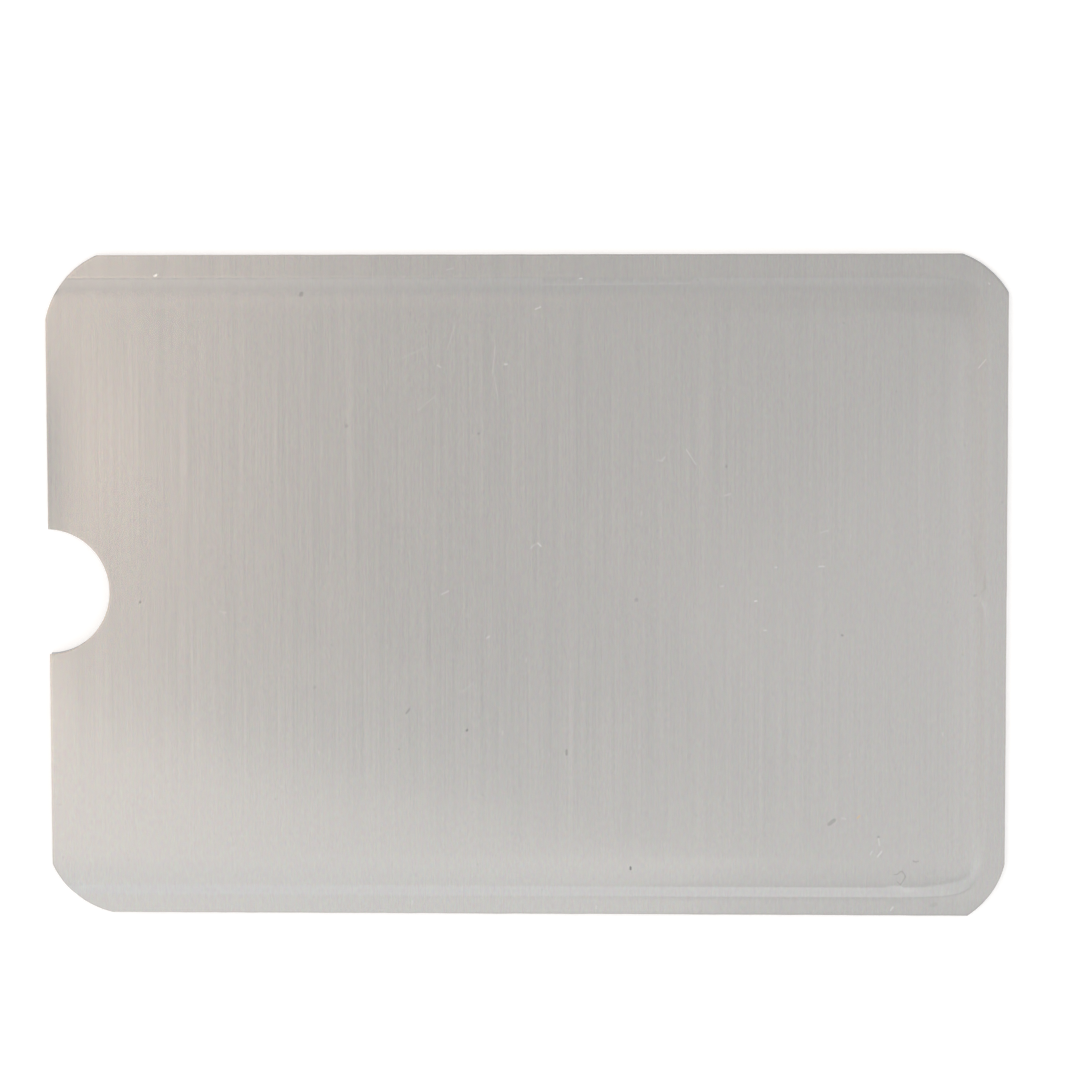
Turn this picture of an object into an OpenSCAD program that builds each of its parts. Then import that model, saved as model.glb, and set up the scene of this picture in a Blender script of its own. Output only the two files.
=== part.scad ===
// Shielding sleeve for one bank card. Two laminated walls are heat-sealed together along both long
// sides and one short end. The other short end is the open mouth, with a thumb notch.
// The sleeve lies on its back wall. +X runs from the mouth to the sealed end, +Y towards the upper
// side seam and +Z up through the front wall. The origin is under the middle of the cut blank.

/* [Sleeve] */
// Length from the mouth to the sealed end
sleeve_l = 91.5; // [88:0.5:120]
// Width across both side seams
sleeve_w = 63; // [60:0.5:90]

/* [Card pocket] */
// Thickness of the card that the pocket is formed for
card_t = 0.76; // [0.64:0.02:1.4]
// Spare height over the card
card_ease = 0.09; // [0.04:0.01:0.4]

/* [Wall layers] */
// Thickness of the brushed metallised face film
film_t = 0.03; // [0.02:0.005:0.1]
// Thickness of the aluminium foil that shields the chip
foil_t = 0.03; // [0.015:0.005:0.1]
// Thickness of the white paper core
core_t = 0.2; // [0.1:0.01:0.5]
// Thickness of the heat-seal liner
liner_t = 0.03; // [0.02:0.005:0.1]

/* [Heat seals] */
// Width of the seal along the upper long side
upper_seal_w = 2.2; // [1.2:0.1:4]
// Width of the seal along the lower long side
lower_seal_w = 1.7; // [1.2:0.1:4]
// Width of the seal across the closed end
end_seal_w = 2; // [1.2:0.1:4]

/* [Embossing] */
// Height of the pressed step that each wall makes beside a seal
emboss_h = 0.26; // [0.1:0.01:0.32]
// Length of that step
emboss_run = 1.1; // [0.6:0.1:2]
// Further length over which the wall eases up to the full pocket
ease_run = 3; // [1:0.25:6]

/* [Corner punches] */
// Radius of the corner punch
corner_r = 8.4; // [8:0.1:14]
// Upper mouth corner: length taken off the long side
upper_mouth_cut_l = 5.2; // [3:0.05:7]
// Upper mouth corner: length taken off the mouth
upper_mouth_cut_w = 5.9; // [3:0.05:7]
// Lower mouth corner: length taken off the long side
lower_mouth_cut_l = 5.7; // [3:0.05:7]
// Lower mouth corner: length taken off the mouth
lower_mouth_cut_w = 4.6; // [3:0.05:7]
// Upper end corner: length taken off the long side
upper_end_cut_l = 4.35; // [3:0.05:7]
// Upper end corner: length taken off the closed end
upper_end_cut_w = 3.55; // [3:0.05:7]
// Lower end corner: length taken off the long side
lower_end_cut_l = 3.45; // [3:0.05:7]
// Lower end corner: length taken off the closed end
lower_end_cut_w = 4.85; // [3:0.05:7]

/* [Thumb notch] */
// Radius of the notch punch
notch_r = 5.93; // [4.5:0.05:12]
// Distance of its centre outside the mouth
notch_out = 0.13; // [0:0.05:2]
// Distance of its centre below the middle of the mouth
notch_drop = 0.62; // [0:0.05:5]

/* [Punching] */
// Distance by which the punches cut the front wall further back than the back wall
punch_step = 0.12; // [0.05:0.01:0.3]

/* [Hidden] */

half_l = sleeve_l / 2;
half_w = sleeve_w / 2;

// Heights of the layer faces in a seal, counted outwards from the bond plane between the walls
liner_top = liner_t;
core_top = liner_top + core_t;
foil_top = core_top + foil_t;
wall_t = foil_top + film_t;

// The pocket is shared evenly, so each wall rises by half of it
lift = (card_t + card_ease) / 2;
bond_z = lift + wall_t;

emboss_steps = 6;
ease_steps = 5;
stations = concat(
    [for (i = [0:emboss_steps]) emboss_run * i / emboss_steps],
    [for (i = [1:ease_steps]) emboss_run + ease_run * i / ease_steps]
);
last = len(stations) - 1;

// Reach of the cutting solids past the blank, and their depth under the bond plane
over = 2;
deep = 1;

film_colour = [0.73, 0.72, 0.70];
foil_colour = [0.83, 0.84, 0.86];
core_colour = [0.93, 0.90, 0.84];
liner_colour = [0.86, 0.88, 0.90];
seal_colour = [0.70, 0.74, 0.78];

$fn = 128;

// Rise of a wall at distance d inside the edge of a seal: a pressed S-shaped step,
// on an arc that eases up until the pocket has its full height
function rise(d) =
    emboss_h * (1 - cos(180 * min(d / emboss_run, 1))) / 2
    + (lift - emboss_h) * (1 - pow(1 - d / (emboss_run + ease_run), 2));

// What the corner punch takes off, with the corner at [0, 0] and the sleeve in +x and +y.
// The arc meets the two sides at lengths a and b, where it leaves a blunt corner on each.
module corner_offcut(a, b) {
    chord = norm([a, b]);
    inset = sqrt(pow(corner_r, 2) - pow(chord / 2, 2));
    centre = [a / 2, b / 2] + [b, a] * inset / chord;
    difference() {
        translate([-over, -over]) square(centre + [over, over]);
        translate(centre) circle(corner_r);
    }
}

// Outline of a wall, whose punched edges lie back by trim
module blank(trim) {
    // moving both ends of an arc by this much moves its middle by trim
    slide = trim * sqrt(2);
    difference() {
        square([sleeve_l, sleeve_w], center = true);
        translate([-half_l, half_w]) mirror([0, 1])
            corner_offcut(upper_mouth_cut_l + slide, upper_mouth_cut_w + slide);
        translate([-half_l, -half_w])
            corner_offcut(lower_mouth_cut_l + slide, lower_mouth_cut_w + slide);
        translate([half_l, half_w]) rotate(180)
            corner_offcut(upper_end_cut_l + slide, upper_end_cut_w + slide);
        translate([half_l, -half_w]) mirror([1, 0])
            corner_offcut(lower_end_cut_l + slide, lower_end_cut_w + slide);
        translate([-half_l - notch_out, -notch_drop]) circle(notch_r + trim);
    }
}

// Section across the sleeve of everything under a face that lies at height h in the seals
module cross_section(h, past) {
    polygon(concat(
        [[-half_w - past, -past], [-half_w - past, h]],
        [for (i = [0:last]) [-half_w + lower_seal_w + stations[i], h + rise(stations[i])]],
        [for (i = [last:-1:0]) [half_w - upper_seal_w - stations[i], h + rise(stations[i])]],
        [[half_w + past, h], [half_w + past, -past]]
    ));
}

// The same section along the sleeve, which stays open at the mouth
module long_section(h, past) {
    polygon(concat(
        [[-half_l - past, -past], [-half_l - past, h + lift]],
        [for (i = [last:-1:0]) [half_l - end_seal_w - stations[i], h + rise(stations[i])]],
        [[half_l + past, h], [half_l + past, -past]]
    ));
}

// Both sections together give the pressed form, with a hip where the end meets a side
module pressed_form(h, past) {
    intersection() {
        rotate([90, 0, 90])
            linear_extrude(sleeve_l + 2 * past, center = true) cross_section(h, past);
        rotate([90, 0, 0])
            linear_extrude(sleeve_w + 2 * past, center = true) long_section(h, past);
    }
}

// One layer of a wall, from height h0 to h1 over the bond plane
module layer(h0, h1, trim) {
    intersection() {
        difference() {
            pressed_form(h1, deep);
            pressed_form(h0, over);
        }
        linear_extrude(over + lift + wall_t) blank(trim);
    }
}

// The part of a liner that is still loose, inside the seals
module loose_liner(trim) {
    intersection() {
        layer(0, liner_top, trim);
        translate([-half_l - over, -half_w + lower_seal_w, -over])
            cube([
                sleeve_l + over - end_seal_w,
                sleeve_w - lower_seal_w - upper_seal_w,
                2 * over + lift
            ]);
    }
}

// A bar of fused liner, two liners thick, cut to the outline of the back wall
module fused_bar(x0, x1, y0, y1) {
    intersection() {
        translate([x0, y0, -liner_t]) cube([x1 - x0, y1 - y0, 2 * liner_t]);
        translate([0, 0, -over]) linear_extrude(2 * over) blank(0);
    }
}

module front() {
    translate([0, 0, bond_z]) children();
}

module back() {
    translate([0, 0, bond_z]) mirror([0, 0, 1]) children();
}

module front_face_film() {
    color(film_colour) front() layer(foil_top, wall_t, punch_step);
}

module front_foil() {
    color(foil_colour) front() layer(core_top, foil_top, punch_step);
}

module front_core() {
    color(core_colour) front() layer(liner_top, core_top, punch_step);
}

module front_liner() {
    color(liner_colour) front() loose_liner(punch_step);
}

module back_face_film() {
    color(film_colour) back() layer(foil_top, wall_t, 0);
}

module back_foil() {
    color(foil_colour) back() layer(core_top, foil_top, 0);
}

module back_core() {
    color(core_colour) back() layer(liner_top, core_top, 0);
}

module back_liner() {
    color(liner_colour) back() loose_liner(0);
}

module upper_seal() {
    color(seal_colour) front()
        fused_bar(-half_l - over, half_l - end_seal_w, half_w - upper_seal_w, half_w + over);
}

module lower_seal() {
    color(seal_colour) front()
        fused_bar(-half_l - over, half_l - end_seal_w, -half_w - over, -half_w + lower_seal_w);
}

module end_seal() {
    color(seal_colour) front()
        fused_bar(half_l - end_seal_w, half_l + over, -half_w - over, half_w + over);
}

front_face_film();
front_foil();
front_core();
front_liner();
back_face_film();
back_foil();
back_core();
back_liner();
upper_seal();
lower_seal();
end_seal();
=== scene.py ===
import math

import bpy
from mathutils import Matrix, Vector, noise
from mathutils.geometry import delaunay_2d_cdt


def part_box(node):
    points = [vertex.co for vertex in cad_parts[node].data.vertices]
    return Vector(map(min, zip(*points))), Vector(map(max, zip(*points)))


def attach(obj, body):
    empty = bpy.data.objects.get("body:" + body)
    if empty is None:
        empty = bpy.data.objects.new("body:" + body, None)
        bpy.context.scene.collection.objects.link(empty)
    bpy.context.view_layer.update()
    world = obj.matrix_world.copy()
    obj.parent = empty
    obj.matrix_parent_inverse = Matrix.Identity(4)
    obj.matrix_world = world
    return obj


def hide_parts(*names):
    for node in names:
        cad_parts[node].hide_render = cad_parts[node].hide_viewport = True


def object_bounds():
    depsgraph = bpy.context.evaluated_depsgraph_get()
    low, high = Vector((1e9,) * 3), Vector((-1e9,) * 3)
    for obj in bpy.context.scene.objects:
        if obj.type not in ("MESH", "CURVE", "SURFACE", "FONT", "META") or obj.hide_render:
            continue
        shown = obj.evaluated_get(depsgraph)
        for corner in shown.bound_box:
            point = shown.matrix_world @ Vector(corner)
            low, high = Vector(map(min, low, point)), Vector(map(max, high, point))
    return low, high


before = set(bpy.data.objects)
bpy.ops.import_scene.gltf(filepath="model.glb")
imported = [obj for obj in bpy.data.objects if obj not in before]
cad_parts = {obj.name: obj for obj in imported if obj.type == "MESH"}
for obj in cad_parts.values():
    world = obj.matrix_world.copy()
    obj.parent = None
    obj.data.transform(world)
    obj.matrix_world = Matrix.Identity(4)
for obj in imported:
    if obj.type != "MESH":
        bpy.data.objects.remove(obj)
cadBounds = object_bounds()

# The sleeve is drawn in millimetres and written to its meshes in metres.
mm = 0.001
onEdge = 0.001  # points this near to a side count as on it
endless = 1000.0  # a cell of grain this long is the same all the way through


def spanOf(node, axis):
    low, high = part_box(node)
    return low[axis] / mm, high[axis] / mm


def straightRun(node, axis, side):
    # where the straight part of one side starts and ends, along the other axis of the plan
    points = [v.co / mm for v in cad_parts[node].data.vertices]
    edge = max(side * p[axis] for p in points)
    along = [p[1 - axis] for p in points if side * p[axis] > edge - onEdge]
    return min(along), max(along)


def measureSleeve():
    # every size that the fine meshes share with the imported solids
    halfLength = cadBounds[1].x / mm
    halfWidth = cadBounds[1].y / mm
    sealLow, sealHigh = spanOf("end_seal", 2)
    linerTop = (sealHigh - sealLow) / 2
    bond = (sealHigh + sealLow) / 2
    lift = spanOf("front_liner", 2)[1] - bond - linerTop
    layers = ("core", "foil", "face_film")
    tops = {layer: spanOf("front_" + layer, 2)[1] - bond - lift for layer in layers}
    ends = {
        "upper": straightRun("back_face_film", 1, 1),
        "lower": straightRun("back_face_film", 1, -1),
        "mouth": straightRun("back_face_film", 0, -1),
        "end": straightRun("back_face_film", 0, 1),
    }
    return {
        "halfLength": halfLength,
        "halfWidth": halfWidth,
        "upperSeal": halfWidth - spanOf("upper_seal", 1)[0],
        "lowerSeal": halfWidth + spanOf("lower_seal", 1)[1],
        "endSeal": halfLength - spanOf("end_seal", 0)[0],
        "bond": bond,
        "lift": lift,
        "tops": {"liner": linerTop, **tops},
        # what each corner punch takes off the long side and off the short one
        "cuts": {
            "upperMouth": (ends["upper"][0] + halfLength, halfWidth - ends["mouth"][1]),
            "lowerMouth": (ends["lower"][0] + halfLength, halfWidth + ends["mouth"][0]),
            "upperEnd": (halfLength - ends["upper"][1], halfWidth - ends["end"][1]),
            "lowerEnd": (halfLength - ends["lower"][1], halfWidth + ends["end"][0]),
        },
    }


sleeve = measureSleeve()
pocketEnd = sleeve["halfLength"] - sleeve["endSeal"]
pocketLow = sleeve["lowerSeal"] - sleeve["halfWidth"]
pocketHigh = sleeve["halfWidth"] - sleeve["upperSeal"]
print("measured the sleeve:", {name: size for name, size in sleeve.items() if name != "cuts"})

# Punched outline of both walls
blankForm = {
    "cornerRadius": 8.4,
    "notchRadius": 5.93,
    "notchOutside": 0.13,
    "notchDrop": 0.62,
    "setBack": {  # how far each punch cut the front wall back
        "upperMouth": 0.07, "upperEnd": 0.13, "lowerMouth": 0.06, "lowerEnd": 0.05, "notch": 0.05
    },
    "backSetBack": {  # the same for the back wall, below 0 where it reaches further out
        "upperMouth": -0.05, "upperEnd": 0.0, "lowerMouth": 0.0, "lowerEnd": 0.0, "notch": 0.0
    },
    # punches struck a little askew: what this adds to the cuts along the long and the short side
    "cutShift": {"upperMouth": (-0.25, 0.12), "upperEnd": (0.0, 0.12)},
    "outOfSquare": {"mouth": 0.29, "end": 0.15},  # how far the guillotine ran in at the lower corners
    "arcPitch": 0.3,
    "edgePitch": 0.9,
    "wander": 0.02,  # how far the cut edges wander off their line
    "lowerWander": 0.035,  # the same along the lower side
    "lowerBand": 1.0,  # and how far up from that side it holds
    "wanderPitch": 2.6,
    "fineWander": (3.1, 0.5),  # a second wander is so many times finer and has this share
    "wanderBias": 0.5,  # shifts the wander inwards
    "rimWidth": 0.13,  # the shear rolls this much of the face down at the cut
    "rimRoll": 0.006,
    "guardWidth": 0.3,  # further in, a line of points keeps the roll out of the flat
}

# Pressed form of a wall, as in the solids, with the softness of the real film
pressedForm = {
    "stepHeight": 0.26,
    "stepRun": 1.1,
    "easeRun": 3.0,
    "hipBlend": 1.6,  # roundness of the hips where two seals meet
    # along the upper seal a plain slope takes the place of the step: its share, its run, and how fast
    # it sets in above the middle line
    "upperSoftness": 0.9,
    "softRun": 3.4,
    "softFade": 10.0,
    "bandDroop": {"upper": 0.03, "lower": 0.05, "end": 0.02},
    "waves": ((34.0, 0.030), (13.0, 0.008)),  # pitch and depth of the slack in the loose walls
    "waveShift": 40.0,  # keeps one set of waves clear of the other in the noise
    # Two curls of the front lip: middle, spread, height. The wall dips behind a lip that stands up,
    # and falls off towards one that hangs.
    "lipCurls": ((12.0, 9.0, 0.122), (-13.0, 9.0, -0.03)),
    "lipReach": 3.6,
    "lipRecovery": 16.0,
}

# Which way each corner lies from the middle
corners = {"lowerEnd": (1, -1), "upperEnd": (1, 1), "upperMouth": (-1, 1), "lowerMouth": (-1, -1)}


def punchArc(name, setBack):
    # cut lengths and centre of a corner punch, measured inwards from the square corner
    slide = setBack * math.sqrt(2)
    shifts = blankForm["cutShift"].get(name, (0, 0))
    a, b = (cut + slide + shift for cut, shift in zip(sleeve["cuts"][name], shifts))
    radius, chord = blankForm["cornerRadius"], math.hypot(a, b)
    inset = math.sqrt(radius**2 - (chord / 2) ** 2)
    return a, b, a / 2 + b * inset / chord, b / 2 + a * inset / chord


def cornerPoints(name, setBack):
    # from the long side to the short side
    sideX, sideY = corners[name]
    a, b, cx, cy = punchArc(name, setBack)
    start, stop = math.atan2(-cy, a - cx), math.atan2(b - cy, -cx)
    stop -= 2 * math.pi if stop > start else 0
    steps = math.ceil(blankForm["cornerRadius"] * (start - stop) / blankForm["arcPitch"])
    points = []
    for i in range(steps + 1):
        angle = start + (stop - start) * i / steps
        px = cx + blankForm["cornerRadius"] * math.cos(angle)
        py = cy + blankForm["cornerRadius"] * math.sin(angle)
        points.append((sideX * (sleeve["halfLength"] - px), sideY * (sleeve["halfWidth"] - py)))
    return points


def notchPoints(setBack):
    # from the upper end of the notch, round its bottom, to the lower end
    radius = blankForm["notchRadius"] + setBack
    reach = math.acos(blankForm["notchOutside"] / radius)
    steps = math.ceil(2 * radius * reach / blankForm["arcPitch"])
    cx = -sleeve["halfLength"] - blankForm["notchOutside"]
    turns = [reach - 2 * reach * i / steps for i in range(steps + 1)]
    return [(cx + radius * math.cos(t), -blankForm["notchDrop"] + radius * math.sin(t)) for t in turns]


def straightPoints(start, stop):
    # between two points, without either
    length = math.dist(start, stop)
    steps = max(1, round(length / blankForm["edgePitch"]))
    return [tuple(p + (q - p) * i / steps for p, q in zip(start, stop)) for i in range(1, steps)]


def outlineOf(setBack):
    # the outline of a wall, counter-clockwise from the lower long side
    runs = [
        cornerPoints("lowerEnd", setBack["lowerEnd"]),
        cornerPoints("upperEnd", setBack["upperEnd"])[::-1],
        cornerPoints("upperMouth", setBack["upperMouth"]),
        notchPoints(setBack["notch"]),
        cornerPoints("lowerMouth", setBack["lowerMouth"])[::-1],
    ]
    outline = []
    for run, following in zip(runs, runs[1:] + runs[:1]):
        outline += run + straightPoints(run[-1], following[0])
    return [wanderOff(point) for point in outline]


def leanAt(x, y):
    # how far the short sides lean in towards the lower corners; the third power keeps it near them
    square = blankForm["outOfSquare"]["mouth" if x < 0 else "end"]
    return square * (0.5 - y / (2 * sleeve["halfWidth"])) * (x / sleeve["halfLength"]) ** 3


def wanderOff(point):
    # guillotine and punches leave the cut a few hundredths off its line
    x, y = point
    atLowerSide = y < blankForm["lowerBand"] - sleeve["halfWidth"]
    reach = blankForm["lowerWander" if atLowerSide else "wander"]
    place = Vector((x, y, 0)) / blankForm["wanderPitch"]
    finer, part = blankForm["fineWander"]
    pull = noise.noise(place) + part * noise.noise(place * finer)
    inwards = Vector((-x / sleeve["halfLength"], -y / sleeve["halfWidth"]))
    # the fifth power turns the pull square to the nearest side
    inwards = Vector((inwards.x**5, inwards.y**5)).normalized()
    reach *= max(pull + blankForm["wanderBias"], 0)
    return (x + inwards.x * reach - leanAt(x, y), y + inwards.y * reach)


def depthInside(x, y, setBack):
    # how far a point lies inside the outline
    x += leanAt(x, y)
    halfLength, halfWidth = sleeve["halfLength"], sleeve["halfWidth"]
    depth = min(halfLength - abs(x), halfWidth - abs(y))
    fromNotch = math.hypot(x + halfLength + blankForm["notchOutside"], y + blankForm["notchDrop"])
    depth = min(depth, fromNotch - blankForm["notchRadius"] - setBack["notch"])
    for name, (sideX, sideY) in corners.items():
        _, _, cx, cy = punchArc(name, setBack[name])
        px, py = halfLength - sideX * x, halfWidth - sideY * y
        if px < cx and py < cy:
            depth = min(depth, blankForm["cornerRadius"] - math.hypot(px - cx, py - cy))
    return depth


def insetLoop(loop, width):
    # a closed line of points moved inwards by a width
    moved = []
    for before, point, after in zip(loop[-1:] + loop[:-1], loop, loop[1:] + loop[:1]):
        ahead = Vector((after[0] - before[0], after[1] - before[1])).normalized()
        moved.append((point[0] - ahead.y * width, point[1] + ahead.x * width))
    return moved


def stations(*runs):
    # (start, stop, pitch) runs as one list of places
    places = [runs[0][0]]
    for start, stop, pitch in runs:
        steps = max(1, round((stop - start) / pitch))
        places += [start + (stop - start) * i / steps for i in range(1, steps + 1)]
    return places


# How closely the points of a wall are laid in plan
planForm = {
    "bandPitches": (0.42, 0.11, 0.5),  # over a seal, its pressed step and the arc beside it
    "flatPitch": 1.8,
    "guardClear": 0.08,  # the lines start this far inside the guard points
    "markClear": 0.05,  # and the marks this far inside the rolled rim
    "overrun": 1.0,  # the seals' inner edges are drawn this far past the outline
    "merge": 1e-5,
}


def bandsBeside(seal):
    # width and pitch of each band from a side inwards; a side without a seal has none
    widths = (seal, pressedForm["stepRun"], pressedForm["easeRun"]) if seal else ()
    return zip(widths, planForm["bandPitches"])


def crossStations(low, high, lowSeal, highSeal):
    # lines across one direction: close together over the pressed steps, further apart on the flat
    runs, rest = [], []
    for width, pitch in bandsBeside(lowSeal):
        runs.append((low, low + width, pitch))
        low += width
    for width, pitch in bandsBeside(highSeal):
        rest.insert(0, (high - width, high, pitch))
        high -= width
    return stations(*runs, (low, high, planForm["flatPitch"]), *rest)


# Painted highlight along the upper seal's pressed step, strongest at the mouth: the sheen that the step's
# slope catches, put into the film's colour.
# It is laid as short strokes along one line, and growth is what each millimetre further from fadedAt
# adds.
paintedSheen = {"line": 28.6, "span": (-44, -5), "stroke": 3, "width": 1.5, "fadedAt": -4.5, "growth": 0.0085}


def paintedSheenStrokes():
    line, stroke = paintedSheen["line"], paintedSheen["stroke"]
    return tuple(
        ((x, line), (x + stroke, line), paintedSheen["width"], paintedSheen["growth"] * (paintedSheen["fadedAt"] - x))
        for x in range(*paintedSheen["span"], stroke)
    )


# What has settled on the front wall or rubbed it, and painted highlight along the upper seal's step, in
# millimetres: start, stop, width, strength
frontMarks = {
    "dust": (
        ((-21.29, 27.71), (-21.21, 27.79), 0.42, 0.22),
        ((28.9, -22.7), (29.4, -22.3), 0.34, 0.24),
        ((10.0, -27.1), (10.0, -26.9), 0.20, 0.60),
        ((3.9, -16.1), (3.9, -15.7), 0.22, 0.28),
        ((-5.63, -13.83), (-5.57, -13.77), 0.23, 0.36),
        ((-11.4, -12.2), (-11.1, -11.8), 0.18, 0.22),
        ((10.51, -1.33), (10.60, -1.27), 0.34, 0.13),
        ((-36.86, -1.63), (-36.83, -1.57), 0.21, 0.30),
        ((30.07, -4.63), (30.13, -4.67), 0.21, 0.26),
        ((-17.00, 15.21), (-17.00, 15.29), 0.31, 0.14),
        ((-4.43, 14.47), (-4.37, 14.53), 0.20, 0.18),
        ((19.10, 11.37), (19.10, 11.43), 0.20, 0.20),
        ((42.60, -0.87), (42.70, -0.84), 0.26, 0.13),
        ((-20.16, -9.73), (-20.13, -9.67), 0.29, 0.10),
        ((33.57, -23.90), (33.63, -23.90), 0.21, 0.22),
        ((-12.13, -15.66), (-12.07, -15.63), 0.20, 0.15),
        ((38.7, -30.5), (39.1, -30.4), 0.40, 0.07),
    ),
    "hair": (
        ((35.1, -27.5), (35.4, -27.5), 0.11, 0.17),
        ((35.4, -27.5), (35.7, -27.2), 0.11, 0.20),
        ((35.7, -27.2), (35.9, -27.2), 0.11, 0.20),
        ((35.9, -27.2), (36.2, -27.7), 0.11, 0.22),
        ((36.2, -27.7), (35.7, -28.5), 0.11, 0.20),
        ((35.7, -28.5), (35.4, -28.2), 0.11, 0.16),
        ((36.9, -26.2), (37.2, -26.3), 0.14, 0.20),
        ((37.2, -26.3), (37.4, -26.2), 0.14, 0.16),
    ),
    "scratchAndSheen": (
        ((0.5, 3.6), (0.8, 3.9), 0.12, 0.18),
        ((0.8, 3.9), (1.2, 4.1), 0.12, 0.14),
        ((1.2, 4.1), (1.5, 3.8), 0.15, 0.30),
        ((-8.0, -0.8), (-7.3, -0.5), 0.14, 0.20),
        ((-3.7, -5.0), (-3.4, -4.8), 0.14, 0.22),
        ((-6.1, -10.2), (-5.0, -9.3), 0.10, 0.12),
        ((1.0, 26.3), (1.5, 26.5), 0.15, 0.32),
        ((-35.3, 29.5), (-35.1, 29.6), 0.22, 0.80),
        ((5.2, 29.2), (5.4, 29.2), 0.16, 0.30),
        ((-1.9, 21.1), (-1.7, 21.1), 0.17, 0.34),
        ((-8.3, 21.0), (-8.0, 20.8), 0.14, 0.22),
        ((-7.4, 22.4), (-6.6, 24.9), 0.12, 0.10),
        ((-3.1, 20.1), (-2.8, 22.8), 0.12, 0.12),
        ((-2.9, 19.8), (-2.6, 18.1), 0.12, 0.10),
        ((-10.2, 16.7), (-8.5, 18.1), 0.12, 0.10),
        ((-11.6, 21.7), (-9.4, 22.7), 0.22, 0.06),
        ((12.5, 12.0), (13.0, 11.9), 0.12, 0.12),
        ((13.0, 11.9), (13.3, 12.3), 0.14, 0.16),
        ((15.3, 13.0), (16.2, 11.6), 0.11, 0.22),
        ((18.9, 8.6), (19.5, 8.8), 0.13, 0.14),
        ((23.7, 1.8), (23.9, 1.8), 0.16, 0.20),
        ((27.9, 1.9), (28.4, 1.9), 0.15, 0.24),
        ((28.0, 5.1), (28.7, 5.3), 0.11, 0.14),
        ((21.8, -1.4), (22.0, -1.4), 0.15, 0.34),
        ((22.7, -4.2), (22.9, -4.2), 0.15, 0.22),
        ((18.6, 0.0), (18.8, 0.0), 0.14, 0.20),
        ((33.6, -24.1), (33.7, -24.7), 0.15, 0.20),
        ((32.8, -25.6), (33.0, -25.3), 0.13, 0.20),
        ((33.5, -25.8), (33.9, -25.3), 0.14, 0.30),
        ((34.8, -31.0), (35.0, -30.7), 0.16, 0.30),
        ((30.1, -22.1), (30.5, -22.2), 0.14, 0.14),
        ((42.9, 20.7), (43.6, 21.5), 0.12, 0.22),
        ((43.8, 28.7), (43.9, 28.6), 0.14, 0.24),
        ((-29.2, -2.5), (-28.6, -2.6), 0.16, 0.10),
        ((-7.5, 30.0), (-6.8, 30.2), 0.15, 0.12),
        # painted highlight: a faint light line along the upper seal's pressed step, not a scratch
        ((1.6, 28.6), (15.6, 28.7), 0.13, 0.06),
    ),
    "fleck": (((31.6, -22.1), (31.8, -21.9), 0.18, 0.45),),
    # painted highlight along the upper seal's pressed step
    "paintedSheen": paintedSheenStrokes(),
}
markColours = {
    "dust": (0.03, 0.035, 0.04),
    "hair": (0.06, 0.03, 0.035),
    # light colour of the scratches, also used for one painted highlight line along the upper seal's step
    "scratchAndSheen": (0.85, 0.86, 0.86),
    "fleck": (0.72, 0.50, 0.18),
    # colour of the painted highlight along the upper seal's step
    "paintedSheen": (0.88, 0.78, 0.70),
}
markForm = {
    "pitch": 0.3,  # of the points along a mark
    "spread": 0.65,  # where it has faded out, in widths from its line
    "core": 0.5,  # how much of that has its full strength
    "diagonal": 0.7,  # how far out the points between an end and its sides lie
}


def markPoints(start, stop, width):
    # along a mark and round it, close enough together to hold its shape
    start, stop = Vector(start), Vector(stop)
    steps = math.ceil((stop - start).length / markForm["pitch"])
    points = [start.lerp(stop, i / steps) for i in range(steps + 1)]
    for reach in (markForm["core"], 1):
        ahead = (stop - start).normalized() * reach * markForm["spread"] * width
        across = Vector((-ahead.y, ahead.x))
        points += [start - ahead, stop + ahead]
        for middle in points[: steps + 1]:
            points += [middle + across, middle - across]
        for end, way in ((start, -ahead), (stop, ahead)):
            points += [end + markForm["diagonal"] * turn for turn in (way + across, way - across)]
    return [tuple(point) for point in points]


def markAt(x, y):
    # colour and strength of the mark at a point of the front wall
    place = Vector((x, y))
    colour, most = markColours["dust"], -1.0
    for kind, strokes in frontMarks.items():
        for start, stop, width, strength in strokes:
            reach = Vector(stop) - Vector(start)
            along = min(max((place - Vector(start)).dot(reach) / reach.length_squared, 0), 1)
            distance = (place - Vector(start) - along * reach).length
            fade = (1 - distance / (markForm["spread"] * width)) / (1 - markForm["core"])
            share = strength * min(fade, 1)
            if share > most:
                colour, most = markColours[kind], share
    return (*colour, max(most, 0.0))


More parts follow.
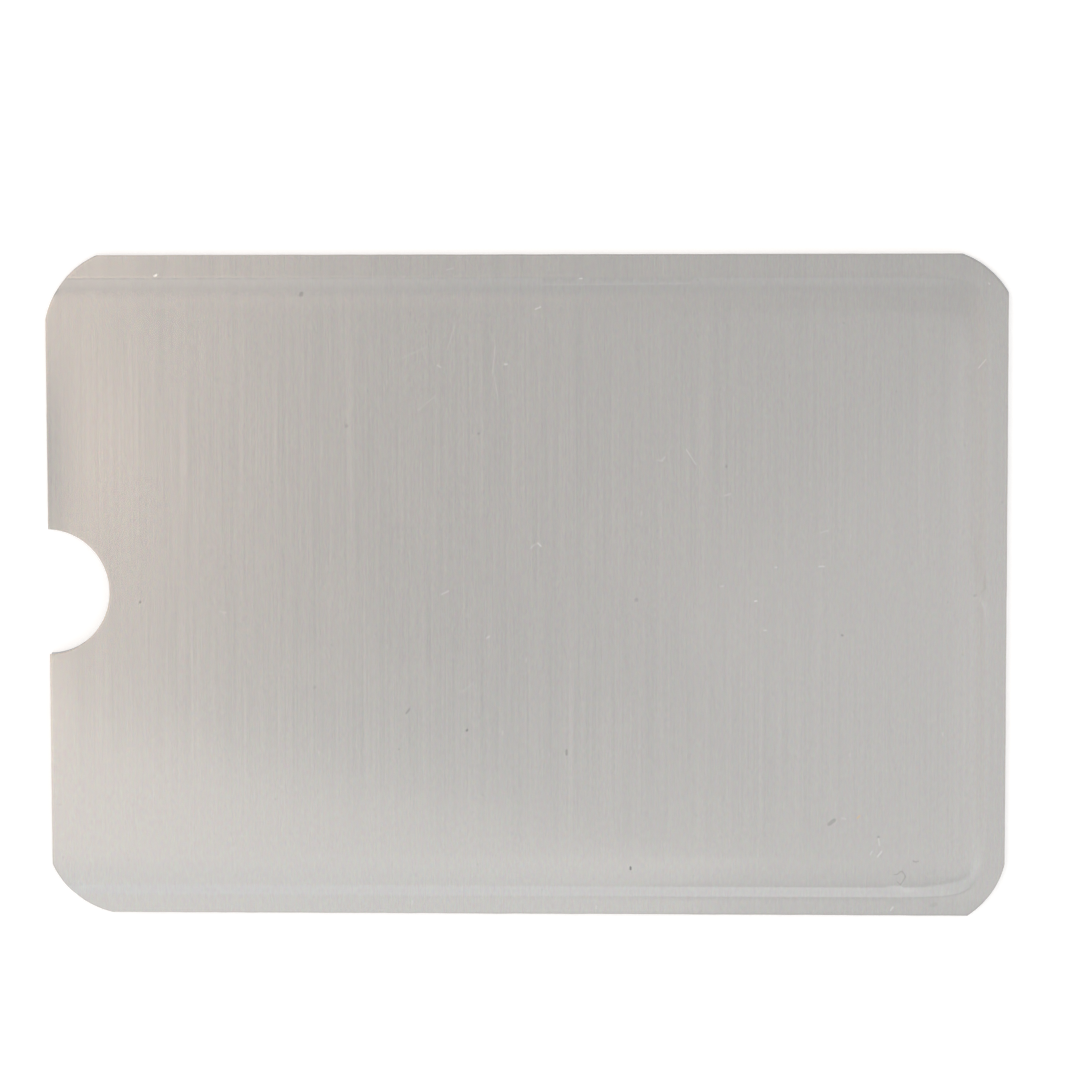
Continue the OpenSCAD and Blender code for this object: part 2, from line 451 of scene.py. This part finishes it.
def layPlan(setBack, marks=()):
    # triangles of one wall in plan, with lines along the cut's rolled rim and the seals' inner edges
    halfLength, halfWidth = sleeve["halfLength"], sleeve["halfWidth"]
    outline = outlineOf(setBack)
    rim = insetLoop(outline, blankForm["rimWidth"])
    guard = insetLoop(outline, blankForm["guardWidth"])
    count = len(outline)
    ring = [(i, (i + 1) % count) for i in range(count)]
    points = outline + rim + guard
    edges = ring + [(a + count, b + count) for a, b in ring]
    inFlat = blankForm["guardWidth"] + planForm["guardClear"]
    inMarks = blankForm["rimWidth"] + planForm["markClear"]
    for x in crossStations(-halfLength, halfLength, 0, sleeve["endSeal"]):
        for y in crossStations(-halfWidth, halfWidth, sleeve["lowerSeal"], sleeve["upperSeal"]):
            if depthInside(x, y, setBack) > inFlat:
                points.append((x, y))
    for start, stop, width, _ in marks:
        points += [p for p in markPoints(start, stop, width) if depthInside(*p, setBack) > inMarks]
    left, past = -halfLength - planForm["overrun"], planForm["overrun"]
    for start, stop in (
        ((left, pocketLow), (pocketEnd, pocketLow)),
        ((left, pocketHigh), (pocketEnd, pocketHigh)),
        ((pocketEnd, -halfWidth - past), (pocketEnd, pocketLow)),
        ((pocketEnd, pocketLow), (pocketEnd, pocketHigh)),
        ((pocketEnd, pocketHigh), (pocketEnd, halfWidth + past)),
    ):
        points += [start, stop]
        edges.append((len(points) - 2, len(points) - 1))
    places = [Vector(p) for p in points]
    coords, _, faces, origins, _, _ = delaunay_2d_cdt(places, edges, [], 1, planForm["merge"])
    onRim = [any(i < count for i in origin) for origin in origins]
    return {
        "points": [tuple(c) for c in coords],
        "faces": [tuple(f) for f in faces],
        "onRim": onRim,
        "rise": [pocketRise(*c) for c in coords],
        "droop": [bandDroop(*c) for c in coords],
        "curl": [lipCurl(*c) for c in coords],
        "marks": [markAt(*c) for c in coords] if marks else None,
    }


def smoothShare(value, low, high):
    # 0 up to low and 1 from high, with a soft start and end between them
    share = min(max((value - low) / (high - low), 0), 1)
    return share * share * (3 - 2 * share)


def stepRise(depth, soft=0.0):
    # a pressed S-shaped step on an arc that eases up to the full pocket, or, as far as soft says, one
    # plain slope instead of both
    if depth <= 0:
        return 0.0
    step = pressedForm["stepHeight"]
    run, whole = pressedForm["stepRun"], pressedForm["stepRun"] + pressedForm["easeRun"]
    rise = step * (1 - math.cos(math.pi * min(depth / run, 1))) / 2
    rise += (sleeve["lift"] - step) * (1 - (1 - min(depth / whole, 1)) ** 2)
    plain = sleeve["lift"] * (1 - (1 - min(depth / pressedForm["softRun"], 1)) ** 2)
    return rise + soft * (plain - rise)


def softLeast(values, blend):
    # the least of some values, rounded off where two of them are nearly equal
    least = min(values)
    return least - blend * math.log(sum(math.exp((least - v) / blend) for v in values))


def pocketRise(x, y):
    # rise of a wall over the bond, with rounded hips and the slack of a loose wall
    depths = (
        sleeve["halfWidth"] - y - sleeve["upperSeal"],
        sleeve["halfWidth"] + y - sleeve["lowerSeal"],
        sleeve["halfLength"] - x - sleeve["endSeal"],
    )
    soft = pressedForm["upperSoftness"] * smoothShare(depths[1] - depths[0], 0, pressedForm["softFade"])
    rise = stepRise(softLeast(depths, pressedForm["hipBlend"]), soft)
    share = rise / sleeve["lift"]
    for turn, (pitch, depth) in enumerate(pressedForm["waves"]):
        place = Vector((x, y, pressedForm["waveShift"] * turn)) / pitch
        rise -= share**2 * depth * (0.5 + 0.5 * noise.noise(place))  # noise runs from -1 to 1
    return rise


def lipCurl(x, y):
    # how far the front wall dips behind a lip that stands up, or falls off towards one that hangs
    depth = x + sleeve["halfLength"]
    reach, recovery = pressedForm["lipReach"], pressedForm["lipRecovery"]
    curl = 0.0
    for middle, spread, height in pressedForm["lipCurls"]:
        share = height * math.exp(-(((y - middle) / spread) ** 2))
        bend = (1 - min(depth / reach, 1)) ** 2
        if height < 0:
            curl += share * bend
        else:
            curl -= share * (1 - bend) * (1 - min(depth / recovery, 1)) ** 2
    return curl


def bandDroop(x, y):
    # the seals sag a little towards their outer edges
    droop = 0.0
    for side, depth in (
        ("upper", sleeve["halfWidth"] - y),
        ("lower", sleeve["halfWidth"] + y),
        ("end", sleeve["halfLength"] - x),
    ):
        droop = max(droop, pressedForm["bandDroop"][side] * max(0.0, 1 - depth / sleeve[side + "Seal"]))
    return droop


plans = {
    "front": layPlan(blankForm["setBack"], [mark for strokes in frontMarks.values() for mark in strokes]),
    "back": layPlan(blankForm["backSetBack"]),
}
print("laid out the walls:", {wall: len(plan["faces"]) for wall, plan in plans.items()}, "triangles each")


def inPocket(x, y):
    return x < pocketEnd and pocketLow < y < pocketHigh


def inEndSeal(x, y):
    return x > pocketEnd


def inUpperSeal(x, y):
    return x <= pocketEnd and y > pocketHigh


def inLowerSeal(x, y):
    return x <= pocketEnd and y < pocketLow


# Finish of every sheet's mesh
sheetForm = {
    "sharpAngle": 28,  # in degrees: a cut edge stays crisp and a pressed step smooth
    "grainMapScale": 10,  # the map's length per metre of the plan
}


def buildLayer(name, plan, lower, upper, kept=None):
    # one closed sheet between two lists of heights; kept chooses the triangles by their middle
    points, faces = plan["points"], plan["faces"]
    if kept:
        faces = [f for f in faces if kept(*(sum(points[i][k] for i in f) / len(f) for k in (0, 1)))]
    used = sorted({i for face in faces for i in face})
    place = {old: new for new, old in enumerate(used)}
    low = [(points[i][0] * mm, points[i][1] * mm, lower[i] * mm) for i in used]
    high = [(points[i][0] * mm, points[i][1] * mm, upper[i] * mm) for i in used]
    over = len(used)
    polygons = []
    directed = set()
    for face in faces:
        a, b, c = (place[i] for i in face)
        if turnOf(points, face) < 0:
            b, c = c, b
        polygons += [(a + over, b + over, c + over), (c, b, a)]
        directed |= {(a, b), (b, c), (c, a)}
    for a, b in directed:
        if (b, a) not in directed:
            polygons.append((a, b, b + over, a + over))
    mesh = bpy.data.meshes.new(name)
    mesh.from_pydata(low + high, [], polygons)
    mesh.polygons.foreach_set("use_smooth", [True] * len(mesh.polygons))
    mesh.set_sharp_from_angle(angle=math.radians(sheetForm["sharpAngle"]))
    rim = mesh.attributes.new("cutEdge", "FLOAT", "POINT")
    rim.data.foreach_set("value", [float(plan["onRim"][i]) for i in used] * 2)
    if plan["marks"]:
        tint = mesh.attributes.new("markTint", "FLOAT_COLOR", "POINT")
        tint.data.foreach_set("color", [value for i in used * 2 for value in plan["marks"][i]])
    grain = mesh.uv_layers.new(name="grainMap")
    spots = [mesh.vertices[loop.vertex_index].co.xy * sheetForm["grainMapScale"] for loop in mesh.loops]
    grain.data.foreach_set("uv", [value for spot in spots for value in spot])
    piece = bpy.data.objects.new(name, mesh)
    bpy.context.scene.collection.objects.link(piece)
    return piece


def turnOf(points, face):
    # above 0 where a triangle runs counter-clockwise
    (ax, ay), (bx, by), (cx, cy) = (points[i] for i in face)
    return (bx - ax) * (cy - ay) - (by - ay) * (cx - ax)


def heights(wall, offset, rolled=False):
    # heights of one face of a wall: offset from the bond, then the pressed form and the seals' sag
    plan, side = plans[wall], 1 if wall == "front" else -1
    result = []
    for rise, droop, curl, onRim in zip(plan["rise"], plan["droop"], plan["curl"], plan["onRim"]):
        roll = blankForm["rimRoll"] if rolled and onRim else 0
        bend = curl * (rise / sleeve["lift"]) ** 2 if wall == "front" else 0
        result.append(sleeve["bond"] - droop + side * (offset + rise - roll) + bend)
    return result


def buildWall(wall):
    # the layers from the outside in; the liner is loose only in the pocket
    tops = sleeve["tops"]
    built = []
    for layer, inner, outer in (
        ("face_film", tops["foil"], tops["face_film"]),
        ("foil", tops["core"], tops["foil"]),
        ("core", tops["liner"], tops["core"]),
        ("liner", 0.0, tops["liner"]),
    ):
        faces = heights(wall, inner), heights(wall, outer, rolled=layer == "face_film")
        lower, upper = faces if wall == "front" else faces[::-1]
        kept = inPocket if layer == "liner" else None
        piece = buildLayer(f"{wall}_{layer}_fine", plans[wall], lower, upper, kept)
        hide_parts(f"{wall}_{layer}")
        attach(piece, "root")
        built.append(piece)
    return built


def buildSeals():
    # bars of fused liner, two liners thick, that sag with the walls
    plan, half = plans["back"], sleeve["tops"]["liner"]
    under = [sleeve["bond"] - droop - half for droop in plan["droop"]]
    over = [height + 2 * half for height in under]
    built = []
    for node, kept in (("upper_seal", inUpperSeal), ("lower_seal", inLowerSeal), ("end_seal", inEndSeal)):
        piece = buildLayer(node + "_fine", plan, under, over, kept)
        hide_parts(node)
        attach(piece, "root")
        built.append(piece)
    return built


frontPieces = buildWall("front")
backPieces = buildWall("back")
sealPieces = buildSeals()
print("built", len(frontPieces + backPieces + sealPieces), "pieces")


def put(tree, kind, inputs=None, **settings):
    # adds one shader node, with its settings and inputs
    node = tree.nodes.new("ShaderNode" + kind)
    for name, value in settings.items():
        setattr(node, name, value)
    feed(tree, node, inputs or {})
    return node


def feed(tree, node, inputs):
    # links each input to a socket or sets its value
    for name, value in inputs.items():
        if isinstance(value, bpy.types.NodeSocket):
            tree.links.new(value, node.inputs[name])
        else:
            node.inputs[name].default_value = value


def calculate(tree, operation, *values, clamp=False):
    return put(tree, "Math", dict(enumerate(values)), operation=operation, use_clamp=clamp).outputs[0]


def vectorMath(tree, operation, *values, output=0):
    return put(tree, "VectorMath", dict(enumerate(values)), operation=operation).outputs[output]


def blendColour(tree, share, first, second):
    colours = [c if isinstance(c, bpy.types.NodeSocket) else (*c, 1) for c in (first, second)]
    return put(tree, "Mix", {"Factor": share, 6: colours[0], 7: colours[1]}, data_type="RGBA").outputs[2]


def ramp(tree, value, low, high, start=0.0, stop=1.0):
    inputs = {"Value": value, "From Min": low, "From Max": high, "To Min": start, "To Max": stop}
    return put(tree, "MapRange", inputs, interpolation_type="SMOOTHSTEP").outputs[0]


def fadeOut(tree, value, low, high):
    return ramp(tree, value, low, high, 1.0, 0.0)


def newGroup(name, inputs, outputs):
    group = bpy.data.node_groups.new(name, "ShaderNodeTree")
    for socket, kind, value in inputs:
        made = group.interface.new_socket(name=socket, in_out="INPUT", socket_type="NodeSocket" + kind)
        if value is not None:
            made.default_value = value
    for socket, kind in outputs:
        group.interface.new_socket(name=socket, in_out="OUTPUT", socket_type="NodeSocket" + kind)
    return group, group.nodes.new("NodeGroupInput").outputs, group.nodes.new("NodeGroupOutput").inputs


def useGroup(tree, group, inputs):
    node = tree.nodes.new("ShaderNodeGroup")
    node.node_tree = group
    feed(tree, node, inputs)
    return node.outputs


perMillimetre = (1 / mm, 1 / mm, 1 / mm)
flatPlan = (1 / mm, 1 / mm, 0)  # the plan in millimetres, without the height
grainMiddle = 0.5  # the value that grain and tints swing about

# What the groups share, whatever the material
groupForm = {
    "roughness": 0.7,  # of the grain's finer detail
    "speckCore": 0.3,  # a speck has its full strength over this part of its size
    "faintest": 0.3,  # strength of the faintest speck
    "edgeBreakup": {"cell": (0.9, 0.9, 0.9), "seed": 7.0, "detail": 2.0, "least": 0.3, "swing": 1.4},
}


def makeStretchedGrain():
    # noise whose cells are so many millimetres along each axis: brush lines, rolling lines and fibres
    group, given, result = newGroup(
        "stretchedGrain",
        [
            ("Position", "Vector", None),
            ("Cell", "Vector", (1.0, 1.0, 1.0)),
            ("Detail", "Float", 0.0),
            ("Seed", "Float", 0.0),
        ],
        [("Grain", "Float"), ("Tint", "Color")],
    )
    plain = vectorMath(group, "MULTIPLY", given["Position"], perMillimetre)
    cells = vectorMath(group, "DIVIDE", plain, given["Cell"])
    shift = put(group, "CombineXYZ", {"X": given["Seed"], "Z": given["Seed"]}).outputs[0]
    moved = vectorMath(group, "ADD", cells, shift)
    finer = {"Detail": given["Detail"], "Roughness": groupForm["roughness"]}
    grain = put(group, "TexNoise", {"Vector": moved, "Scale": 1.0, **finer})
    group.links.new(grain.outputs["Fac"], result["Grain"])
    group.links.new(grain.outputs["Color"], result["Tint"])
    return group


def grainIn(tree, position, cell, seed, detail=0.0):
    inputs = {"Position": position, "Cell": cell, "Detail": detail, "Seed": seed}
    return useGroup(tree, stretchedGrain, inputs)


def makeStrayMarks():
    # scattered small specks: a share of the cells holds one, no two alike in strength
    group, given, result = newGroup(
        "strayMarks",
        [
            ("Position", "Vector", None),
            ("Cell", "Vector", (3.0, 3.0, 1.0)),
            ("Size", "Float", 0.04),
            ("Share", "Float", 0.1),
            ("Seed", "Float", 0.0),
        ],
        [("Mask", "Float")],
    )
    plain = vectorMath(group, "MULTIPLY", given["Position"], flatPlan)
    plan = vectorMath(group, "DIVIDE", plain, given["Cell"])
    shift = put(group, "CombineXYZ", {"X": given["Seed"], "Y": given["Seed"]}).outputs[0]
    moved = vectorMath(group, "ADD", plan, shift)
    settings = {"voronoi_dimensions": "2D", "feature": "F1"}
    cells = put(group, "TexVoronoi", {"Vector": moved, "Scale": 1.0}, **settings).outputs
    distance = calculate(group, "DIVIDE", cells["Distance"], given["Size"])
    speck = fadeOut(group, distance, groupForm["speckCore"], 1.0)
    lot = put(group, "SeparateColor", {0: cells["Color"]}).outputs
    held = calculate(group, "LESS_THAN", lot[0], given["Share"])
    faintest = groupForm["faintest"]
    strength = calculate(group, "MULTIPLY_ADD", lot[1], 1 - faintest, faintest)
    mask = calculate(group, "MULTIPLY", calculate(group, "MULTIPLY", speck, held), strength)
    group.links.new(mask, result["Mask"])
    return group


def makeCutEdgeDarkening():
    # darker colour along a cut edge, broken up along its length
    group, given, result = newGroup(
        "cutEdgeDarkening",
        [("Position", "Vector", None), ("Cut", "Float", 0.0), ("Share", "Float", 0.6)],
        [("Mask", "Float")],
    )
    edgeBreakup = groupForm["edgeBreakup"]
    grain = grainIn(group, given["Position"], edgeBreakup["cell"], edgeBreakup["seed"], edgeBreakup["detail"])["Grain"]
    broken = calculate(group, "MULTIPLY_ADD", grain, edgeBreakup["swing"], edgeBreakup["least"])
    worn = calculate(group, "MULTIPLY", given["Cut"], broken)
    mask = calculate(group, "MULTIPLY", worn, given["Share"], clamp=True)
    group.links.new(mask, result["Mask"])
    return group


stretchedGrain = makeStretchedGrain()
strayMarks = makeStrayMarks()
cutEdgeDarkening = makeCutEdgeDarkening()


def newMaterial(name):
    material = bpy.data.materials.new(name)
    material.use_nodes = True
    tree = material.node_tree
    return material, tree, tree.nodes["Principled BSDF"]


def surfacePosition(tree):
    return put(tree, "TexCoord").outputs["Object"]


def darkenCutEdges(tree, position, colour, look):
    # darkens a colour along the cut edges
    cut = put(tree, "Attribute", attribute_name="cutEdge").outputs["Fac"]
    mask = useGroup(tree, cutEdgeDarkening, {"Position": position, "Cut": cut, "Share": look["edgeShare"]})["Mask"]
    return blendColour(tree, mask, colour, look["edgeColour"])


def finish(tree, shader, colour, roughness, height, distance):
    # colour, roughness and bump from nodes; distance is the depth of the bump in millimetres
    feed(tree, shader, {"Base Color": colour, "Roughness": roughness})
    bump = put(tree, "Bump", {"Strength": 1.0, "Distance": distance * mm, "Height": height})
    tree.links.new(bump.outputs["Normal"], shader.inputs["Normal"])


# Brushed metallised film under a clear coat
filmLook = {
    "metal": (0.508, 0.503, 0.49),
    "metallic": 1.0,
    "roughness": 0.22,
    "anisotropy": 0.9,
    "coat": 1.0,
    "coatRoughness": 0.08,
    "lines": (  # of the brush: width, run, share of the tone, seed
        (0.1, 1.2, 0.012, 3.0),
        (0.11, 26.0, 0.026, 11.0),
        (0.25, 9.0, 0.012, 23.0),
        (0.6, 40.0, 0.005, 31.0),
        (1.6, 90.0, 0.004, 43.0),
    ),
    "tintCell": (0.14, 0.5, endless),
    "tintSeed": 61.0,
    "tint": 0.062,  # how far short lines lean to one colour or another
    "roughLines": 0.02,
    "lineHeight": 0.00032,
    "edgeColour": (0.30, 0.27, 0.23),
    "edgeShare": 0.3,
    "strays": (  # specks and nicks: cell, size, share of the cells, seed, strength, kind of mark
        ((5.0, 5.0, 1.0), 0.03, 0.4, 3.0, 0.1, "dust"),
        ((2.2, 7.0, 1.0), 0.05, 0.05, 9.0, 0.14, "scratchAndSheen"),
    ),
    "backSeed": 90.0,  # the back wall's film is from elsewhere on the roll
}


def makeFaceFilm(name, seed, marked):
    material, tree, shader = newMaterial(name)
    position = surfacePosition(tree)
    tone, height = 1.0, 0.0
    for width, run, share, start in filmLook["lines"]:
        grain = grainIn(tree, position, (width, run, endless), start + seed)["Grain"]
        swing = calculate(tree, "SUBTRACT", grain, grainMiddle)
        tone = calculate(tree, "MULTIPLY_ADD", swing, 2 * share, tone)
        height = calculate(tree, "ADD", height, swing)
    tints = grainIn(tree, position, filmLook["tintCell"], filmLook["tintSeed"] + seed)["Tint"]
    leaning = vectorMath(tree, "SUBTRACT", tints, [grainMiddle] * 3)
    reach = [2 * filmLook["tint"] * value for value in filmLook["metal"]]
    tinted = vectorMath(tree, "MULTIPLY_ADD", leaning, reach, filmLook["metal"])
    colour = put(tree, "VectorMath", {0: tinted, "Scale": tone}, operation="SCALE").outputs[0]
    for cell, size, share, start, strength, kind in filmLook["strays"]:
        inputs = {"Position": position, "Cell": cell, "Size": size, "Share": share, "Seed": start + seed}
        mask = useGroup(tree, strayMarks, inputs)["Mask"]
        colour = blendColour(tree, calculate(tree, "MULTIPLY", mask, strength), colour, markColours[kind])
    if marked:
        # the front wall's marks: dust, hair, scratches, a fleck, and painted highlight along the upper
        # seal's step
        tint = put(tree, "Attribute", attribute_name="markTint").outputs
        colour = blendColour(tree, tint["Alpha"], colour, tint["Color"])
    colour = darkenCutEdges(tree, position, colour, filmLook)
    rough = calculate(tree, "MULTIPLY_ADD", height, filmLook["roughLines"], filmLook["roughness"])
    finish(tree, shader, colour, rough, height, filmLook["lineHeight"])
    tangent = put(tree, "Tangent", direction_type="UV_MAP", uv_map="grainMap")
    tree.links.new(tangent.outputs[0], shader.inputs["Tangent"])
    shader.inputs["Metallic"].default_value = filmLook["metallic"]
    shader.inputs["Anisotropic"].default_value = filmLook["anisotropy"]
    shader.inputs["Coat Weight"].default_value = filmLook["coat"]
    shader.inputs["Coat Roughness"].default_value = filmLook["coatRoughness"]
    return material


# The layers that show at the cuts and inside the mouth
layerLooks = {
    "foil": {
        "name": "rolledFoil",
        "colours": ((0.74, 0.75, 0.77), (0.88, 0.89, 0.90)),
        "cell": (6.0, 0.12, endless),  # rolling lines run along the sleeve
        "roughness": 0.28,
        "roughSwing": 0.15,
        "bump": 0.002,
        "metallic": 1.0,
        "edgeColour": (0.30, 0.29, 0.28),
        "edgeShare": 0.3,
    },
    "core": {
        "name": "paperCore",
        "colours": ((0.62, 0.56, 0.46), (0.86, 0.82, 0.74)),
        "cell": (0.5, 0.12, 0.03),  # fibres lie flat, so the cut shows them as thin bands
        "roughness": 0.85,
        "roughSwing": 0.1,
        "bump": 0.01,
        "metallic": 0.0,
        "edgeColour": (0.34, 0.28, 0.22),
        "edgeShare": 0.6,
    },
    "liner": {
        "name": "milkyLiner",
        "colours": ((0.62, 0.66, 0.70), (0.74, 0.77, 0.80)),
        "cell": (1.5, 4.0, endless),
        "roughness": 0.34,
        "roughSwing": 0.12,
        "bump": 0.003,
        "metallic": 0.0,
        "edgeColour": (0.42, 0.45, 0.48),
        "edgeShare": 0.4,
    },
    "seal": {
        "name": "fusedSeal",
        "colours": ((0.46, 0.50, 0.55), (0.62, 0.66, 0.70)),
        "cell": (0.35, 0.35, 0.2),  # small pores where the two liners melted together
        "roughness": 0.3,
        "roughSwing": 0.25,
        "bump": 0.006,
        "metallic": 0.0,
        "edgeColour": (0.32, 0.34, 0.37),
        "edgeShare": 0.5,
    },
}


# Grain that all of them have in common, and the two values of it at which their colours are pure
layerGrain = {"detail": 3.0, "seed": 5.0, "pure": (0.3, 0.7)}


def makeLayer(look):
    material, tree, shader = newMaterial(look["name"])
    position = surfacePosition(tree)
    grain = grainIn(tree, position, look["cell"], layerGrain["seed"], layerGrain["detail"])["Grain"]
    colour = blendColour(tree, ramp(tree, grain, *layerGrain["pure"]), *look["colours"])
    colour = darkenCutEdges(tree, position, colour, look)
    swing = calculate(tree, "SUBTRACT", grain, grainMiddle)
    rough = calculate(tree, "MULTIPLY_ADD", swing, look["roughSwing"], look["roughness"])
    finish(tree, shader, colour, rough, grain, look["bump"])
    shader.inputs["Metallic"].default_value = look["metallic"]
    return material


finishes = {slot: makeLayer(look) for slot, look in layerLooks.items()}
finishes["front_face_film"] = makeFaceFilm("brushedFilmFront", 0.0, True)
finishes["back_face_film"] = makeFaceFilm("brushedFilmBack", filmLook["backSeed"], False)
for piece in frontPieces + backPieces + sealPieces:
    layer = piece.name.removesuffix("_fine")
    short = "seal" if layer.endswith("seal") else layer.split("_", 1)[1]
    piece.data.materials.append(finishes.get(layer) or finishes[short])
print("made the finishes:", sorted(finishes))

# Pale floor, in metres. The glow is what the camera and reflections see over its lit colour.
floorLook = {"side": 6.0, "drop": 0.00001, "colour": 0.72, "roughness": 0.9, "glow": 0.43}


def makeFloor():
    half = floorLook["side"] / 2
    spots = [(x * half, y * half, 0) for x, y in ((-1, -1), (1, -1), (1, 1), (-1, 1))]
    mesh = bpy.data.meshes.new("floor")
    mesh.from_pydata(spots, [], [(0, 1, 2, 3)])
    floor = bpy.data.objects.new("floor", mesh)
    floor.location.z = -floorLook["drop"]
    bpy.context.scene.collection.objects.link(floor)
    material, tree, shader = newMaterial("paleFloor")
    shader.inputs["Base Color"].default_value = (*[floorLook["colour"]] * 3, 1)
    shader.inputs["Roughness"].default_value = floorLook["roughness"]
    path = put(tree, "LightPath").outputs
    seen = calculate(tree, "MAXIMUM", path["Is Camera Ray"], path["Is Glossy Ray"])
    glow = calculate(tree, "MULTIPLY", seen, floorLook["glow"])
    tree.links.new(glow, shader.inputs["Emission Strength"])
    shader.inputs["Emission Color"].default_value = (1, 1, 1, 1)
    mesh.materials.append(material)


makeFloor()

# A white tent with a soft dark slot overhead, where the camera looks in, and brighter patches that hang
# high up on its sides. Lower down it is plain. Fades and the slot are given as parts of a direction:
# sideways, 0 is straight up and 1 is level. A radiance of 1 is white.
tentLook = {
    "white": (0.76, 0.76, 0.76),
    "slot": (0.15, 0.271, 0.334),
    "slotCentre": (-0.08, -0.15, 0.0),
    "slotReach": (0.08, 0.506, 1.0),
    "front": (0.7, 0.69, 0.71),
    "frontFade": (0.33, 0.45),
    "frontLean": (0.5, 0.9),  # brighter towards the left, up to a limit
    "left": (0.5, 0.4, 0.33),
    "leftFade": ((0.12, 0.45), (0.2, 0.4), (0.45, 0.7)),  # in to the left, in to the back, out again
    "right": (0.154, 0.106, 0.076),
    "rightFront": (0.789, 1.01, 1.144),
    "rightFade": (0.28, 0.45),
    "rightLean": 0.25,  # the patch at the right front grows towards the front, up to this
    "back": (0.06, 0.06, 0.06),
    "backFade": (0.3, 0.5),
    "highFade": (0.4, 0.48),  # upwards: below this every patch is gone
}


def clampTo(tree, value, most):
    return calculate(tree, "MINIMUM", calculate(tree, "MAXIMUM", value, 0.0), most)


def makeTent():
    world = bpy.data.worlds.new("tent")
    bpy.context.scene.world = world
    world.use_nodes = True
    tree = world.node_tree
    direction = put(tree, "TexCoord").outputs["Generated"]
    flat = vectorMath(tree, "MULTIPLY", direction, (1, 1, 0))
    offset = vectorMath(tree, "SUBTRACT", flat, tentLook["slotCentre"])
    offset = vectorMath(tree, "DIVIDE", offset, tentLook["slotReach"])
    share = fadeOut(tree, vectorMath(tree, "LENGTH", offset, output="Value"), 0.0, 1.0)
    unseen = calculate(tree, "SUBTRACT", 1.0, put(tree, "LightPath").outputs["Is Camera Ray"])
    share = calculate(tree, "MULTIPLY", share, unseen)
    colour = blendColour(tree, share, tentLook["white"], tentLook["slot"])
    across, along, upward = put(tree, "SeparateXYZ", {0: direction}).outputs
    high = ramp(tree, upward, *tentLook["highFade"])
    toLeft, toFront = (calculate(tree, "MULTIPLY", part, -1.0) for part in (across, along))
    lean, most = tentLook["frontLean"]
    leaning = clampTo(tree, calculate(tree, "ADD", toLeft, lean), most)
    front = calculate(tree, "MULTIPLY", ramp(tree, toFront, *tentLook["frontFade"]), leaning)
    nearFade, behindFade, farFade = tentLook["leftFade"]
    left = calculate(tree, "MULTIPLY", ramp(tree, toLeft, *nearFade), ramp(tree, along, *behindFade))
    left = calculate(tree, "MULTIPLY", left, fadeOut(tree, toLeft, *farFade))
    right = ramp(tree, across, *tentLook["rightFade"])
    rightFront = calculate(tree, "MULTIPLY", right, clampTo(tree, toFront, tentLook["rightLean"]))
    back = ramp(tree, along, *tentLook["backFade"])
    glows = {"front": front, "left": left, "right": right, "rightFront": rightFront, "back": back}
    for name, glow in glows.items():
        glow = calculate(tree, "MULTIPLY", glow, high)
        glow = put(tree, "VectorMath", {0: tentLook[name], "Scale": glow}, operation="SCALE").outputs[0]
        colour = vectorMath(tree, "ADD", colour, glow)
    tree.links.new(colour, tree.nodes["Background"].inputs["Color"])


makeTent()

# Softboxes under the tent's roof, in millimetres and degrees: place, size, turn and radiance
softboxes = {
    "lowerSoftbox": ((-122, -186, 600), (256, 211), -14, (0.663, 0.613, 0.581)),
    "warmSoftbox": ((-384, 46.5, 600), (356, 268), 0.9, (2.05, 1.54, 1.19)),
    "coolSoftbox": ((161, -92, 600), (190, 260), 40, (0.264, 0.248, 0.249)),
    "smallSoftbox": ((-291, -80, 600), (145, 94), 26, (1.386, 1.091, 0.872)),
}


def addSoftbox(name, place, size, turn, radiance):
    lamp = bpy.data.lights.new(name, "AREA")
    lamp.shape = "RECTANGLE"
    lamp.size, lamp.size_y = (side * mm for side in size)
    peak = max(radiance)
    lamp.color = [c / peak for c in radiance]
    lamp.energy = peak * math.pi * lamp.size * lamp.size_y
    box = bpy.data.objects.new(name, lamp)
    box.location = Vector(place) * mm
    box.rotation_euler.z = math.radians(turn)
    box.visible_camera = False
    bpy.context.scene.collection.objects.link(box)


for name, look in softboxes.items():
    addSoftbox(name, *look)

# The photograph's view, in millimetres and degrees: nearly straight down, from a little above and
# right of the sleeve's middle
view = {
    "place": (17.83, 29.11, 400.0),
    "turn": (-3.5505, 2.3536, -0.0977),
    "lens": 140.14,
    "sensor": 36.0,
    "nearest": 10.0,
}
camera = bpy.data.objects.new("camera", bpy.data.cameras.new("camera"))
camera.location = Vector(view["place"]) * mm
camera.rotation_euler = [math.radians(angle) for angle in view["turn"]]
camera.data.sensor_width = view["sensor"]
camera.data.lens = view["lens"]
camera.data.clip_start = view["nearest"] * mm
bpy.context.scene.collection.objects.link(camera)
bpy.context.scene.camera = camera
bpy.context.scene.view_settings.view_transform = "Standard"
print("set the tent, the softboxes and the camera")
